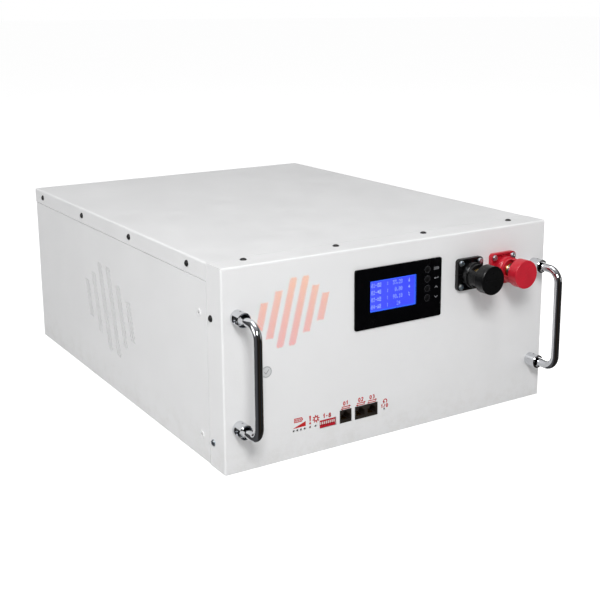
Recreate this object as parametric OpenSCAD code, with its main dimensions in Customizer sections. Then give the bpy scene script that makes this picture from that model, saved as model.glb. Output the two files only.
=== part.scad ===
// Server rack battery, five rack units high.
// Sheet-steel case with a screwed cover and a screwed front panel, two folding
// chrome handles, two insulated power terminals, a display with four keys,
// communication sockets, an address switch, indicator lamps and a cell pack.
// Frame: origin at the middle of the footprint, on the floor. +Z up, +X to the
// right when facing the front panel, +Y towards the rear.

/* [Case] */
// Width of the case
case_w = 442; // [436:1:446]
// Height of the case, five rack units
case_h = 222; // [220:1:226]
// Depth of the case from the front panel to the rear
case_d = 578; // [570:1:620]
// Thickness of the sheet steel
sheet = 1.5; // [1.2:0.1:1.8]
// Outer radius of the bends
bend_r = 2.2; // [1.9:0.1:3]
// Height of the cover's side flanges
cover_lip = 19.5; // [18:0.5:24]
// Depth of the front panel's return flanges
panel_return = 33; // [30:1:36]
// Gap between the front panel and the cover
seam = 0.6; // [0.3:0.1:1]
// Gap round the flush part of the sides
side_seam = 0.9; // [0.5:0.1:1.2]

/* [Case screws] */
// Head diameter of the case screws
case_screw_head = 7.2; // [6.5:0.1:7.6]
// Head height of the case screws
case_screw_head_h = 2; // [1.6:0.1:2.4]
// Distance of the cover's side screws from the front face
cover_screw_y = [77, 233, 389, 545];
// Sideways places of the screws on top of the front panel
panel_top_screw_x = [-183, -68.5, 51.5, 181];
// Distance of the panel's side screws from the front face
panel_side_screw_y = 24.3; // [20:0.1:27]
// Heights of the side screws and of the rack-ear inserts
side_row_z = [28.6, 164.6];
// Distance of the rack-ear inserts from the front face
insert_y = 51.7; // [46:0.1:60]

/* [Vents] */
// Number of slanted bars in each vent field
vent_bars = 6; // [4:1:6]
// Middle of the front vent field, sideways and up
front_vent_c = [-137, 164.5];
// Middle of the side vent fields, from the front face and up
side_vent_c = [308, 105];
// Hole diameter of the front vent
front_vent_hole = 1.8; // [1.4:0.1:2]
// Hole diameter of the side vents
side_vent_hole = 3; // [2.4:0.1:3.2]

/* [Handles] */
// Sideways distance of each handle from the middle
handle_x = 203.5; // [200:0.5:205]
// Height of the lower and upper handle posts
handle_z = [49.5, 169.5];
// Diameter of the posts
post_d = 16; // [15:0.5:17]
// Length of the posts
post_l = 16; // [15.5:0.5:18]
// Diameter of the bar
bar_d = 9; // [8:0.5:10]
// Reach of the bar's middle line from the panel
bar_reach = 43; // [41:1:50]
// Bend radius of the bar's middle line
bar_bend = 15; // [12:1:16]

/* [Power terminals] */
// Sideways places of the negative and positive terminals
term_x = [100.5, 151];
// Height of the terminals
term_z = 172.8; // [170:0.1:175]
// Edge of the square flange
flange_w = 37.5; // [37:0.5:38]
// Screw spacing on the flange
flange_pitch = 28; // [27.5:0.1:28.5]
// Outer reach of the caps from the panel
cap_reach = 44; // [42:0.5:46]
// Outer radius of the caps
cap_r = 16.6; // [16:0.1:17]
// Turn of the negative and positive sleeves about their axis
sleeve_turn = [180, 235];

/* [Display] */
// Middle of the display, sideways and up
disp_c = [0.5, 163.5];
// Width of the display bezel
disp_w = 119.5; // [118:0.5:122]
// Height of the display bezel
disp_h = 68.5; // [67:0.5:70]
// Screen opening, width and height
screen = [63.2, 35.2];
// Screen middle measured from the display's middle
screen_off = [-8.1, 1.7];
// Place of the keys measured from the display's middle
key_x = 39.3; // [38:0.1:42]
// Heights of the keys measured from the display's middle
key_z = [22.4, 11.3, 0.2, -10.9];
// Radius of the keys
key_r = 3.3; // [3:0.1:3.4]

/* [Sockets and lamps] */
// Height of the row of lamps
lamp_z = 30.8; // [30:0.1:32]
// Sideways places of the four charge lamps
charge_x = [-137.4, -132.75, -128.1, -123.45];
// Sideways place of the alarm lamp
alarm_x = -116.5; // [-118:0.1:-115]
// Sideways place of the run lamp
run_x = -109.6; // [-111:0.1:-108]
// Sideways place of the reset key
reset_x = -17.2; // [-19:0.1:-14]
// Address switch window, middle sideways and up
dip_c = [-93.4, 30.8];
// Single socket, middle sideways and up
jack1_c = [-70, 33.7];
// Double socket, middle sideways and up
jack2_c = [-42.1, 33.7];

/* [Cell pack] */
// Width of one cell
cell_w = 174; // [172:1:174]
// Thickness of one cell
cell_t = 53.4; // [52:0.1:53.6]
// Height of one cell
cell_h = 200; // [195:1:201]

/* [Hidden] */

$fn = 48;
eps = 0.01;
hw = case_w / 2;
side_x = hw - sheet;                 // tray's sides where a flange covers them
flush_y = panel_return + side_seam;  // from here back the sides stand out flush
flush_z = case_h - cover_lip - side_seam;
flush_t = sheet + 0.3;               // wall of the pressed-out part
top_z = case_h - sheet;              // underside of the cover and panel top
tray_gap = 0.6;                      // behind the front sheet
handle_reach = bar_reach + bar_d / 2;
// The footprint's middle is at Y = 0, so the front face sits here.
front_y = (handle_reach - case_d - case_screw_head_h) / 2;
back_y = front_y + case_d;

powder = [0.9, 0.9, 0.9];
chrome_c = [0.75, 0.76, 0.78];
zinc = [0.7, 0.74, 0.78];
blackish = [0.08, 0.08, 0.09];
redish = [0.78, 0.12, 0.16];

// ---------- placing helpers ----------
// Front panel: child X is sideways, child Y is up, child Z points out.
module on_front(x, z) { translate([x, front_y, z]) rotate([90, 0, 0]) children(); }
// Sides of the tray: child Y is up, child Z points out.
module on_side(s, y, z, face) {
    translate([s * face, front_y + y, z]) rotate([90, 0, s * 90]) children();
}
module rrect(w, h, r) {
    square([w - 2 * r, h], center = true);
    square([w, h - 2 * r], center = true);
    for (i = [-1, 1], j = [-1, 1]) translate([i * (w / 2 - r), j * (h / 2 - r)]) circle(r);
}
module slab(w, h, t) { translate([-w / 2, -h / 2, 0]) cube([w, h, t]); }

// Screw along -Z with its head above Z = 0.
module screw(shank_r, head_r, head_h, len, cross = true) {
    difference() {
        union() {
            cylinder(r = head_r, h = head_h * 0.45);
            translate([0, 0, head_h * 0.45]) cylinder(r1 = head_r, r2 = head_r * 0.72, h = head_h * 0.55);
        }
        if (cross) for (a = [0, 90]) rotate(a) translate([-head_r * 0.55, -head_r * 0.1, head_h * 0.35])
            cube([head_r * 1.1, head_r * 0.2, head_h]);
    }
    translate([0, 0, -len]) cylinder(r = shank_r, h = len + eps);
}
// Button-head screw with a hexagon socket.
module socket_screw(shank_r, head_r, head_h, len) {
    difference() {
        union() {
            cylinder(r = head_r, h = head_h * 0.4);
            translate([0, 0, head_h * 0.4]) cylinder(r1 = head_r, r2 = head_r * 0.62, h = head_h * 0.6);
        }
        translate([0, 0, head_h * 0.3]) cylinder(r = head_r * 0.38, h = head_h, $fn = 6);
    }
    translate([0, 0, -len]) cylinder(r = shank_r, h = len + eps);
}

// ---------- vent field: slanted bars of small round holes ----------
vent_rise = [0.42, 0.7, 1, 1, 0.7, 0.42];
function vent_span(h) = [for (i = [0 : vent_bars - 1]) h * vent_rise[i]];
module vent_field(w, h, d) {
    px = d * 1.89;                   // column pitch
    pz = px / 2;                     // row pitch, every second row is shifted
    bar = px * 2;                    // each bar is two and a half columns wide
    gap = (w - h * 0.25 - bar) / (vent_bars - 1);
    for (b = [0 : vent_bars - 1]) {
        rows = floor(vent_span(h)[b] / pz / 2);
        for (k = [-rows : rows], c = [-1 : 1]) {
            z = k * pz;
            odd = abs(k) % 2;
            if (!(odd == 1 && c == 1))
                translate([(b - (vent_bars - 1) / 2) * gap + c * px + odd * px / 2 - px * 0
                    + z * 0.25, z]) circle(d / 2, $fn = 16);
        }
    }
}

// ---------- case ----------
module u_profile(w, h, r) {          // upright U outline, rounded below
    translate([-w / 2, r]) square([w, h - r]);
    translate([-w / 2 + r, 0]) square([w - 2 * r, h]);
    for (s = [-1, 1]) translate([s * (w / 2 - r), r]) circle(r);
}

module side_wall_holes() {            // in (distance from front, height)
    translate(side_vent_c) vent_field(175, 113, side_vent_hole);
    for (y = cover_screw_y) translate([y, case_h - 9.7]) circle(1.7);
    for (z = side_row_z) {
        translate([panel_side_screw_y, z]) circle(1.7);
        translate([insert_y, z]) circle(3.5);
    }
}
// part of a side that lies behind the panel's return and the cover's flange
module side_wall_set_back() {
    difference() {
        translate([sheet + tray_gap, 5.5]) square([case_d - 2 * sheet - tray_gap - eps, top_z - 5.5]);
        translate([flush_y + 2.2, 0]) square([case_d, flush_z - 2.2]);
        side_wall_holes();
    }
}
// the rest, pressed out level with the return and the flange
module side_wall_flush() {
    difference() {
        translate([flush_y, 5.5]) square([case_d - flush_y - bend_r, flush_z - 5.5]);
        side_wall_holes();
    }
}
module floor_trough(half, from_y, to_y, shut, wall) {
    difference() {
        translate([0, to_y, 0]) rotate([90, 0, 0]) linear_extrude(to_y - from_y) intersection() {
            u_profile(2 * half, top_z, bend_r);
            translate([-half, 0]) square([2 * half, 6]);
        }
        translate([0, to_y - shut, 0]) rotate([90, 0, 0]) linear_extrude(to_y - from_y + 4)
            translate([0, sheet]) u_profile(2 * (half - wall), top_z, 0.5);
    }
}

module chassis_tray() color(powder) {
    y0 = front_y + sheet + tray_gap;
    y1 = back_y - sheet;
    // floor with its two side bends, narrow behind the panel's returns
    floor_trough(side_x, y0, front_y + flush_y + 2.2, -1, sheet);
    intersection() {
        floor_trough(hw, front_y + flush_y, back_y, flush_t, flush_t);
        translate([0, back_y - case_d / 2, -1]) linear_extrude(8) rrect(case_w, case_d, bend_r);
    }
    // sides with vents
    for (s = [-1, 1]) {
        translate([s > 0 ? side_x - sheet : -side_x, front_y, 0])
            rotate([90, 0, 90]) linear_extrude(sheet) side_wall_set_back();
        translate([s > 0 ? hw - flush_t : -hw, front_y, 0])
            rotate([90, 0, 90]) linear_extrude(flush_t) side_wall_flush();
    }
    // rear wall, with the same step below the cover's flange and round corners
    difference() {
        union() {
            translate([-side_x + eps, y1 - sheet, flush_z - 2.2]) cube([2 * side_x - 2 * eps, sheet, top_z - flush_z + 2.2]);
            translate([0, 0, 5.5]) linear_extrude(flush_z - 5.5) intersection() {
                difference() {
                    translate([0, back_y - case_d / 2]) rrect(case_w, case_d, bend_r);
                    translate([0, back_y - case_d / 2]) rrect(case_w - 2 * flush_t, case_d - 2 * flush_t, 0.4);
                }
                translate([-hw - 1, back_y - bend_r - 0.5]) square([case_w + 2, bend_r + 2]);
            }
        }
        for (x = [-150, 0, 150]) translate([x, y1 + 1, case_h - 9.7]) rotate([90, 0, 0]) cylinder(r = 1.7, h = 4);
    }
    // turned-in top edges
    for (s = [-1, 1]) translate([s > 0 ? side_x - 13 : -side_x + sheet - eps, y0, top_z - sheet])
        cube([13 - sheet + eps, y1 - y0 - sheet + eps, sheet]);
    translate([-side_x + 12, y1 - 13, top_z - sheet]) cube([2 * side_x - 24, 12, sheet]);
    // rail across the top front that carries the panel and the cover
    difference() {
        union() {
            translate([-side_x + 12, y0 + 0.5, top_z - sheet]) cube([2 * side_x - 24, 48, sheet]);
            translate([-side_x + 12, y0 + 47, top_z - 14]) cube([2 * side_x - 24, sheet, 14]);
        }
        for (x = panel_top_screw_x) translate([x, front_y + 22, top_z - 5]) cylinder(r = 1.7, h = 6);
    }
}

module top_cover() color(powder) {
    y0 = front_y + panel_return + seam;
    difference() {
        intersection() {
            translate([0, back_y, case_h]) rotate([90, 0, 0]) linear_extrude(back_y - y0)
                mirror([0, 1]) u_profile(case_w, cover_lip, bend_r);
            rotate([90, 0, 90]) translate([0, 0, -hw]) linear_extrude(case_w) union() {
                translate([y0, case_h - cover_lip]) square([back_y - y0 - bend_r, cover_lip]);
                translate([y0, case_h - cover_lip]) square([back_y - y0, cover_lip - bend_r]);
                translate([back_y - bend_r, case_h - bend_r]) circle(bend_r);
            }
        }
        translate([-side_x, y0 - 1, case_h - cover_lip - 1]) cube([2 * side_x, back_y - sheet - y0 + 1, cover_lip - sheet + 1]);
        for (s = [-1, 1], y = cover_screw_y) on_side(s, y, case_h - 9.7, hw - 3) cylinder(r = 1.7, h = 6);
        for (x = [-150, 0, 150]) translate([x, back_y + 1, case_h - 9.7]) rotate([90, 0, 0]) cylinder(r = 1.7, h = 4);
    }
}

module panel_face() {                // front sheet with every opening, in (x, z)
    difference() {
        translate([-side_x + 2, 0]) square([2 * side_x - 4, top_z - 2]);
        translate(front_vent_c) vent_field(100, 72, front_vent_hole);
        for (s = [-1, 1], z = handle_z) translate([s * handle_x, z]) circle(2.8);
        translate(disp_c) rrect(disp_w - 7, disp_h - 8, 1.5);
        for (x = term_x) translate([x, term_z]) {
            circle(9.5);
            for (i = [-1, 1], j = [-1, 1]) translate([i, j] * flange_pitch / 2) circle(1.8);
        }
        for (x = concat(charge_x, [alarm_x, run_x, reset_x])) translate([x, lamp_z]) circle(1.35);
        translate(dip_c) square([21.8, 9.6], center = true);
        translate(jack1_c) square([16, 15.5], center = true);
        translate(jack2_c) square([31.4, 15.5], center = true);
    }
}

module front_panel() color(powder) {
    r = bend_r;
    difference() {
        intersection() {
            linear_extrude(case_h) union() {
                translate([-hw, front_y + r]) square([case_w, panel_return - r]);
                translate([-hw + r, front_y]) square([case_w - 2 * r, panel_return]);
                for (s = [-1, 1]) translate([s * (hw - r), front_y + r]) circle(r);
            }
            rotate([90, 0, 90]) translate([0, 0, -hw]) linear_extrude(case_w) union() {
                translate([front_y, 0]) square([panel_return, case_h - r]);
                translate([front_y + r, 0]) square([panel_return - r, case_h]);
                translate([front_y + r, case_h - r]) circle(r);
            }
        }
        // hollow behind the sheet
        intersection() {
            translate([0, 0, -1]) linear_extrude(top_z + 1) union() {
                translate([-side_x, front_y + sheet + 0.5]) square([2 * side_x, panel_return]);
                translate([-side_x + 0.5, front_y + sheet]) square([2 * side_x - 1, panel_return]);
            }
            translate([-hw, front_y, -2]) cube([case_w, panel_return + 5, top_z + 2]);
        }
        // the flat of the face is drawn separately
        translate([-side_x + 2, front_y - 1, -1]) cube([2 * side_x - 4, sheet + 1 + eps, top_z - 1]);
        for (s = [-1, 1], z = side_row_z) on_side(s, panel_side_screw_y, z, hw - 3) cylinder(r = 1.7, h = 6);
        for (x = panel_top_screw_x) translate([x, front_y + 22, top_z - 1]) cylinder(r = 1.7, h = 4);
    }
    translate([0, front_y + sheet, 0]) rotate([90, 0, 0]) linear_extrude(sheet) panel_face();
}

module cover_screws() color(blackish) {
    for (s = [-1, 1], y = cover_screw_y) on_side(s, y, case_h - 9.7, hw) socket_screw(1.5, case_screw_head / 2, case_screw_head_h, 7);
    for (x = [-150, 0, 150]) translate([x, back_y, case_h - 9.7]) rotate([-90, 0, 0]) socket_screw(1.5, case_screw_head / 2, case_screw_head_h, 7);
}
module panel_top_screws() color(blackish)
    for (x = panel_top_screw_x) translate([x, front_y + 22, case_h]) socket_screw(1.5, case_screw_head / 2, 1.6, 7);
module panel_upper_side_screws() color(blackish)
    for (s = [-1, 1]) on_side(s, panel_side_screw_y, side_row_z[1], hw) socket_screw(1.5, case_screw_head / 2, case_screw_head_h, 7);
module panel_lower_side_screws() color(zinc)
    for (s = [-1, 1]) on_side(s, panel_side_screw_y, side_row_z[0], hw) screw(1.5, case_screw_head / 2, case_screw_head_h, 7);

module rack_ear_inserts() color(powder)
    for (s = [-1, 1], z = side_row_z) on_side(s, insert_y, z, hw) difference() {
        union() {
            cylinder(r = 4.4, h = 0.7);
            translate([0, 0, -12]) cylinder(r = 3.45, h = 12 + eps);
        }
        translate([0, 0, -13]) cylinder(r = 2.1, h = 15);
    }

module front_vent_screen() color([0.9, 0.35, 0.25])
    on_front(front_vent_c[0], front_vent_c[1]) translate([0, 0, -sheet - 0.9]) slab(112, 82, 0.8);
module side_vent_screens() color([0.85, 0.85, 0.85])
    for (s = [-1, 1]) translate([s > 0 ? side_x - 1.2 : -side_x + 0.4, front_y + side_vent_c[0] - 96, side_vent_c[1] - 62])
        cube([0.8, 192, 124]);

// ---------- handles ----------
pin_t = 8;                           // pin distance from the panel
slot_h = 7.6;
cup_r = 6.3;
tongue_h = 7;
leg_start = 10.8;                    // full bar starts this far from the pin

module handle_posts() color(chrome_c)
    for (s = [-1, 1], z = handle_z) on_front(s * handle_x, z) difference() {
        union() {
            cylinder(d = post_d, h = post_l - 0.8);
            translate([0, 0, post_l - 0.8]) cylinder(d1 = post_d, d2 = post_d - 1.6, h = 0.8);
        }
        // cup for the bar's tongue, with a slot on the outer side to fold into
        translate([0, 0, pin_t - 4.6]) cylinder(r = cup_r, h = post_l);
        translate([s > 0 ? 0 : -post_d, -slot_h / 2, pin_t - 4.6]) cube([post_d, slot_h, post_l]);
        translate([0, post_d, pin_t]) rotate([90, 0, 0]) cylinder(r = 1.26, h = 2 * post_d);
        translate([0, 0, -1]) cylinder(r = 2.5, h = pin_t - 4.6 + 2);
    }
module handle_pins() color(chrome_c)
    for (s = [-1, 1], z = handle_z) on_front(s * handle_x, z)
        translate([0, post_d / 2 - 0.35, pin_t]) rotate([90, 0, 0]) cylinder(r = 1.25, h = post_d - 0.7);
module handle_post_screws() color(zinc)
    for (s = [-1, 1], z = handle_z) on_front(s * handle_x, z) translate([0, 0, -sheet - 1.2]) {
        rotate([180, 0, 0]) screw(2.45, 4.6, 3.2, 1.2 + sheet + 3.0);
        difference() { cylinder(r = 5.8, h = 1.15); translate([0, 0, -1]) cylinder(r = 2.45, h = 4); }
    }

module handle_tongue() {
    difference() {
        union() {
            cylinder(r = 4.2, h = tongue_h, center = true);
            translate([-4.2, -pin_t - 0, -tongue_h / 2]) mirror([0, 1, 0]) translate([0, -pin_t, 0])
                cube([8.4, leg_start + 0.6, tongue_h]);
        }
        cylinder(r = 1.3, h = 20, center = true);
    }
}
module handle_bar(s) {
    y_pin = front_y - pin_t;
    y_leg = y_pin - leg_start;
    y_bar = front_y - bar_reach;
    zl = handle_z[0];
    zh = handle_z[1];
    translate([s * handle_x, 0, 0]) {
        for (z = [zl, zh]) {
            translate([0, y_pin, z]) handle_tongue();
            translate([0, y_leg, z]) rotate([90, 0, 0]) cylinder(d = bar_d, h = y_leg - y_bar - bar_bend);
        }
        // bends
        translate([0, y_bar + bar_bend, zh - bar_bend]) rotate([90, 0, 90]) rotate(90)
            rotate_extrude(angle = 90) translate([bar_bend, 0]) circle(d = bar_d);
        translate([0, y_bar + bar_bend, zl + bar_bend]) rotate([90, 0, 90]) rotate(180)
            rotate_extrude(angle = 90) translate([bar_bend, 0]) circle(d = bar_d);
        translate([0, y_bar, zl + bar_bend]) cylinder(d = bar_d, h = zh - zl - 2 * bar_bend);
    }
}
module left_handle_bar() color(chrome_c) handle_bar(-1);
module right_handle_bar() color(chrome_c) handle_bar(1);

// ---------- power terminals ----------
neck_r = 11.5;
sleeve_z0 = 9.6;                     // back of the sleeve, from the panel
sleeve_z1 = cap_reach - 13.8;        // front of the sleeve
seat_z = 17;                         // brass seat of the stud

module sector(r, a0, a1) {           // flat pie slice
    polygon(concat([[0, 0]], [for (i = [0 : 6]) let (a = a0 + (a1 - a0) * i / 6) [r * cos(a), r * sin(a)]]));
}
module terminal_base() {
    p = flange_pitch / 2;
    difference() {
        linear_extrude(5) rrect(flange_w, flange_w, 4.6);
        // pockets between rim, bosses, neck and ribs
        translate([0, 0, 2]) linear_extrude(4) difference() {
            rrect(flange_w - 4, flange_w - 4, 2.6);
            circle(neck_r + 1.2);
            for (i = [-1, 1], j = [-1, 1]) translate([i * p, j * p]) circle(4.3);
            square([flange_w, 1.6], center = true);
            for (j = [-1, 1], k = [-1, 1]) translate([0, j * (neck_r + 0.6)])
                rotate(j * 90 + k * 24) translate([0, -0.6]) square([9, 1.2]);
        }
        for (i = [-1, 1], j = [-1, 1]) translate([i * p, j * p, -1]) cylinder(r = 1.8, h = 8);
        translate([0, 0, -1]) cylinder(r = 4.3, h = 30);
    }
    difference() {
        union() {
            translate([0, 0, 2]) cylinder(r = neck_r + 1.2, h = 5);
            translate([0, 0, 2]) cylinder(r = neck_r, h = seat_z - 2);
            // lip that keeps the sleeve on
            translate([0, 0, 15.4]) cylinder(r = neck_r + 0.7, h = 0.6);
            translate([0, 0, 16]) cylinder(r1 = neck_r + 0.7, r2 = neck_r, h = 0.8);
            translate([0, 0, -9]) cylinder(r = 9.2, h = 12);
        }
        translate([0, 0, -10]) cylinder(r = 4.3, h = 30);
    }
}
module negative_terminal_base() color(blackish) on_front(term_x[0], term_z) terminal_base();
module positive_terminal_base() color(redish) on_front(term_x[1], term_z) terminal_base();

module terminal_flange_screws() color(zinc)
    for (x = term_x, i = [-1, 1], j = [-1, 1])
        on_front(x + i * flange_pitch / 2, term_z + j * flange_pitch / 2)
            translate([0, 0, 5]) rotate(20 + 37 * i + 11 * j) screw(1.6, 3.5, 2.4, 9);

module terminal_stud() {
    translate([0, 0, -38]) cylinder(r = 4, h = 38 + 28.8);
    translate([0, 0, seat_z]) cylinder(r = 9, h = 2.5);
}
module negative_terminal_stud() color([0.8, 0.62, 0.25]) on_front(term_x[0], term_z) terminal_stud();
module positive_terminal_stud() color([0.8, 0.62, 0.25]) on_front(term_x[1], term_z) terminal_stud();
module terminal_stud_nuts() color(zinc)
    for (x = term_x) on_front(x, term_z) {
        // flat washer, split washer and nut outside
        difference() {
            union() {
                translate([0, 0, seat_z + 2.5]) cylinder(r = 8, h = 1.2);
                translate([0, 0, seat_z + 3.7]) cylinder(r = 6.6, h = 1.6);
                translate([0, 0, seat_z + 5.3]) cylinder(r = 7.4, h = 5, $fn = 6);
            }
            translate([0, 0, seat_z]) cylinder(r = 4.02, h = 20);
        }
        // nut that clamps the base from inside
        difference() {
            union() {
                translate([0, 0, -10.6]) cylinder(r = 9, h = 1.5);
                translate([0, 0, -16.6]) cylinder(r = 7.4, h = 6, $fn = 6);
            }
            translate([0, 0, -20]) cylinder(r = 4.02, h = 20);
        }
        // nut that clamps the inside cable lug
        difference() {
            translate([0, 0, -36]) cylinder(r = 7.4, h = 6, $fn = 6);
            translate([0, 0, -40]) cylinder(r = 4.02, h = 20);
        }
    }

module terminal_sleeve() {
    body_r = 13.8;
    difference() {
        union() {
            translate([0, 0, sleeve_z0]) cylinder(r = 15, h = 4.9);
            translate([0, 0, sleeve_z0 + 4.9]) cylinder(r1 = 15, r2 = 14.2, h = 0.8);
            translate([0, 0, sleeve_z0 + 1]) cylinder(r = body_r, h = sleeve_z1 - sleeve_z0 - 1);
            // two ribbed grips
            for (g = [0, 180]) rotate(g) {
                translate([0, 0, 17.6]) linear_extrude(sleeve_z1 - 17.6 - 0.9) difference() {
                    intersection() { circle(14.3); sector(20, -26, 26); }
                    circle(body_r - 1);
                }
                for (k = [-3 : 3]) rotate(k * 7.2) translate([body_r - 1, -0.45, 18.2])
                    cube([1.75, 0.9, sleeve_z1 - 18.2 - 1.5]);
            }
        }
        translate([0, 0, sleeve_z0 - 1]) cylinder(r = neck_r + 0.05, h = 10);
        translate([0, 0, 15.1]) cylinder(r = 12.6, h = 30);
        // slots that free the grips, and the lead windows
        for (g = [0, 180]) rotate(g) {
            translate([0, 0, 16]) linear_extrude(1.5) difference() { sector(22, -27, 27); circle(12); }
            translate([0, 0, 18.8]) linear_extrude(20) difference() { sector(22, -142, -40); circle(12); }
        }
    }
}
module negative_terminal_sleeve() color(blackish) on_front(term_x[0], term_z) rotate(sleeve_turn[0]) terminal_sleeve();
module positive_terminal_sleeve() color(redish) on_front(term_x[1], term_z) rotate(sleeve_turn[1]) terminal_sleeve();

module terminal_cap() {
    z0 = sleeve_z1 + 0.3;
    difference() {
        union() {
            translate([0, 0, z0]) cylinder(r1 = cap_r - 0.4, r2 = cap_r, h = 0.6);
            translate([0, 0, z0 + 0.6]) cylinder(r = cap_r, h = cap_reach - z0 - 1.1);
            translate([0, 0, cap_reach - 0.5]) cylinder(r1 = cap_r, r2 = cap_r - 0.5, h = 0.5);
            translate([0, 0, z0 - 2.4]) cylinder(r = 12.53, h = 3);
            // fine mould ridge across the face
            translate([-12.5, -0.25, cap_reach - eps]) cube([25, 0.5, 0.15]);
        }
        translate([0, 0, z0 - 4]) cylinder(r = 10.6, h = cap_reach - z0 + 4 - 2.4);
    }
}
module negative_terminal_cap() color(blackish) on_front(term_x[0], term_z) rotate(sleeve_turn[0]) terminal_cap();
module positive_terminal_cap() color(redish) on_front(term_x[1], term_z) rotate(sleeve_turn[1]) terminal_cap();

// ---------- display ----------
module display_bezel() color(blackish) on_front(disp_c[0], disp_c[1]) {
    difference() {
        linear_extrude(2) difference() {
            rrect(disp_w, disp_h, 2.6);
            translate(screen_off) rrect(screen[0], screen[1], 0.6);
            for (z = key_z) translate([key_x, z]) circle(key_r + 0.3);
        }
        // fine step round the edge
        translate([0, 0, 1.6]) linear_extrude(1) difference() { square([200, 200], center = true); rrect(disp_w - 0.8, disp_h - 0.8, 2.2); }
    }
    translate([0, 0, -6]) linear_extrude(6 + eps) difference() {
        rrect(disp_w - 7.6, disp_h - 8.6, 1.4);
        rrect(disp_w - 11.6, disp_h - 12.6, 1);
    }
}
module display_window() color([0.25, 0.3, 0.9]) on_front(disp_c[0] + screen_off[0], disp_c[1] + screen_off[1])
    translate([0, 0, 0.7]) slab(screen[0] - 0.1, screen[1] - 0.1, 1.1);
module display_module() color([0.3, 0.35, 0.8]) on_front(disp_c[0] + screen_off[0], disp_c[1] + screen_off[1]) {
    difference() {
        translate([0, -1, -5.2]) slab(78, 46, 5);
        translate([0, 0, -1]) slab(screen[0] + 3, screen[1] + 3, 3);
    }
    translate([0, 0, -1.1]) slab(screen[0] - 0.4, screen[1] - 0.4, 1.7);
}
module display_board() color([0.05, 0.3, 0.15]) on_front(disp_c[0], disp_c[1]) {
    translate([0, 0, -7.8]) slab(105, 54, 1.6);
    for (z = key_z) translate([key_x, z, -6.3]) { slab(6, 6, 2.4); cylinder(r = 1.7, h = 3.2); }
    translate([-30, -14, -11]) slab(22, 6, 3.3);
    translate([20, 8, -9.4]) slab(10, 10, 1.7);
}
module display_key(i) {
    on_front(disp_c[0] + key_x, disp_c[1] + key_z[i]) {
        translate([0, 0, -1.8]) cylinder(r = key_r + 0.9, h = 1.1);
        translate([0, 0, -2.2]) cylinder(r = key_r - 0.6, h = 1);
        intersection() {
            translate([0, 0, -1]) cylinder(r = key_r, h = 6);
            translate([0, 0, -3.6]) sphere(r = 6.6);
        }
    }
}
module display_key_1() color([0.16, 0.16, 0.18]) display_key(0);
module display_key_2() color([0.16, 0.16, 0.18]) display_key(1);
module display_key_3() color([0.16, 0.16, 0.18]) display_key(2);
module display_key_4() color([0.16, 0.16, 0.18]) display_key(3);

// ---------- sockets, lamps, switches ----------
board_top = jack1_c[1] - 7.65;       // sockets stand on the interface board
module interface_board() color([0.05, 0.3, 0.15]) {
    translate([-146, front_y + 2.4, board_top - 1.6]) cube([140, 62, 1.6]);
    translate([-130, front_y + 40, board_top - eps]) cube([16, 16, 1.6]);
    translate([-100, front_y + 44, board_top - eps]) cube([24, 8, 7]);
    translate([-60, front_y + 44, board_top - eps]) cube([12, 12, 1.4]);
    for (x = [-140, -12]) translate([x, front_y + 58, sheet]) cylinder(r = 2.6, h = board_top - 1.6 - sheet + eps);
    for (x = [-140, -12]) translate([x, front_y + 12, sheet]) cylinder(r = 2.6, h = board_top - 1.6 - sheet + eps);
}
module lamp(x) on_front(x, lamp_z) {
    translate([0, 0, -6]) cylinder(r = 1.2, h = 4.6);
    translate([0, 0, -1.4]) sphere(r = 1.2);
    translate([0, (1.22 - (lamp_z - board_top)) / 2, -8.5]) slab(2.4, lamp_z - board_top + 1.18, 2.6);
}
module charge_and_run_lamps() color([0.1, 0.14, 0.1]) for (x = concat(charge_x, [run_x])) lamp(x);
module alarm_lamp() color([0.35, 0.03, 0.03]) lamp(alarm_x);

dip_body = [20.8, 8.8];
dip_pitch = 2.5;
dip_off = [-0.35, 0.2];
slider_travel = 1.4;
function dip_x(i) = dip_c[0] + dip_off[0] + (i - 3.5) * dip_pitch;
module address_switch_body() color([0.8, 0.05, 0.12]) {
    on_front(dip_c[0] + dip_off[0], dip_c[1] + dip_off[1]) difference() {
        translate([0, 0, -8]) slab(dip_body[0], dip_body[1], 7.2);
        for (i = [0 : 7]) translate([(i - 3.5) * dip_pitch, 0, -2.6]) slab(1.6, 4.8, 3);
    }
    translate([dip_c[0] + dip_off[0] - 9, front_y + 3, board_top + eps]) cube([18, 4.5, dip_c[1] + dip_off[1] - dip_body[1] / 2 - board_top]);
}
module address_slider(i) on_front(dip_x(i), dip_c[1] + dip_off[1] + slider_travel / 2)
    translate([0, 0, -2.5]) slab(1.2, 2.9, 1.9);
module address_slider_1() color("white") address_slider(0);
module address_slider_2() color("white") address_slider(1);
module address_slider_3() color("white") address_slider(2);
module address_slider_4() color("white") address_slider(3);
module address_slider_5() color("white") address_slider(4);
module address_slider_6() color("white") address_slider(5);
module address_slider_7() color("white") address_slider(6);
module address_slider_8() color("white") address_slider(7);

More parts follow.
